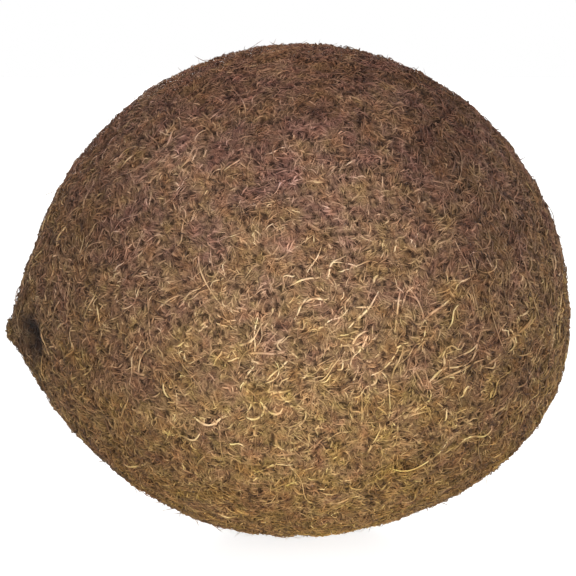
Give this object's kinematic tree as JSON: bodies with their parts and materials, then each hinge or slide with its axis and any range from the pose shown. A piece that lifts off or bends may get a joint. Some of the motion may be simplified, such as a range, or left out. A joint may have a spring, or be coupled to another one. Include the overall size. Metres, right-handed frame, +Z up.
{
  "type": "coconut",
  "caption": "Whole ripe coconut with its husk torn off, covered in short brown coir, lying on its side on a small flat spot.",
  "frame": {"origin": "on the surface that the fruit rests on, under the middle of its bounding box", "axes": "+Z up; +X towards the round far end, with the eye end towards -X; one of the three eyes faces -Y"},
  "size_m": [0.1252, 0.1094, 0.1085],
  "materials": {
    "husk_felt": "matt felt of short, dry, curly brown coconut fibres with paler straw strands"
  },
  "bodies": {
    "root": {"coconut": "husk_felt"}
  },
  "joints": []
}
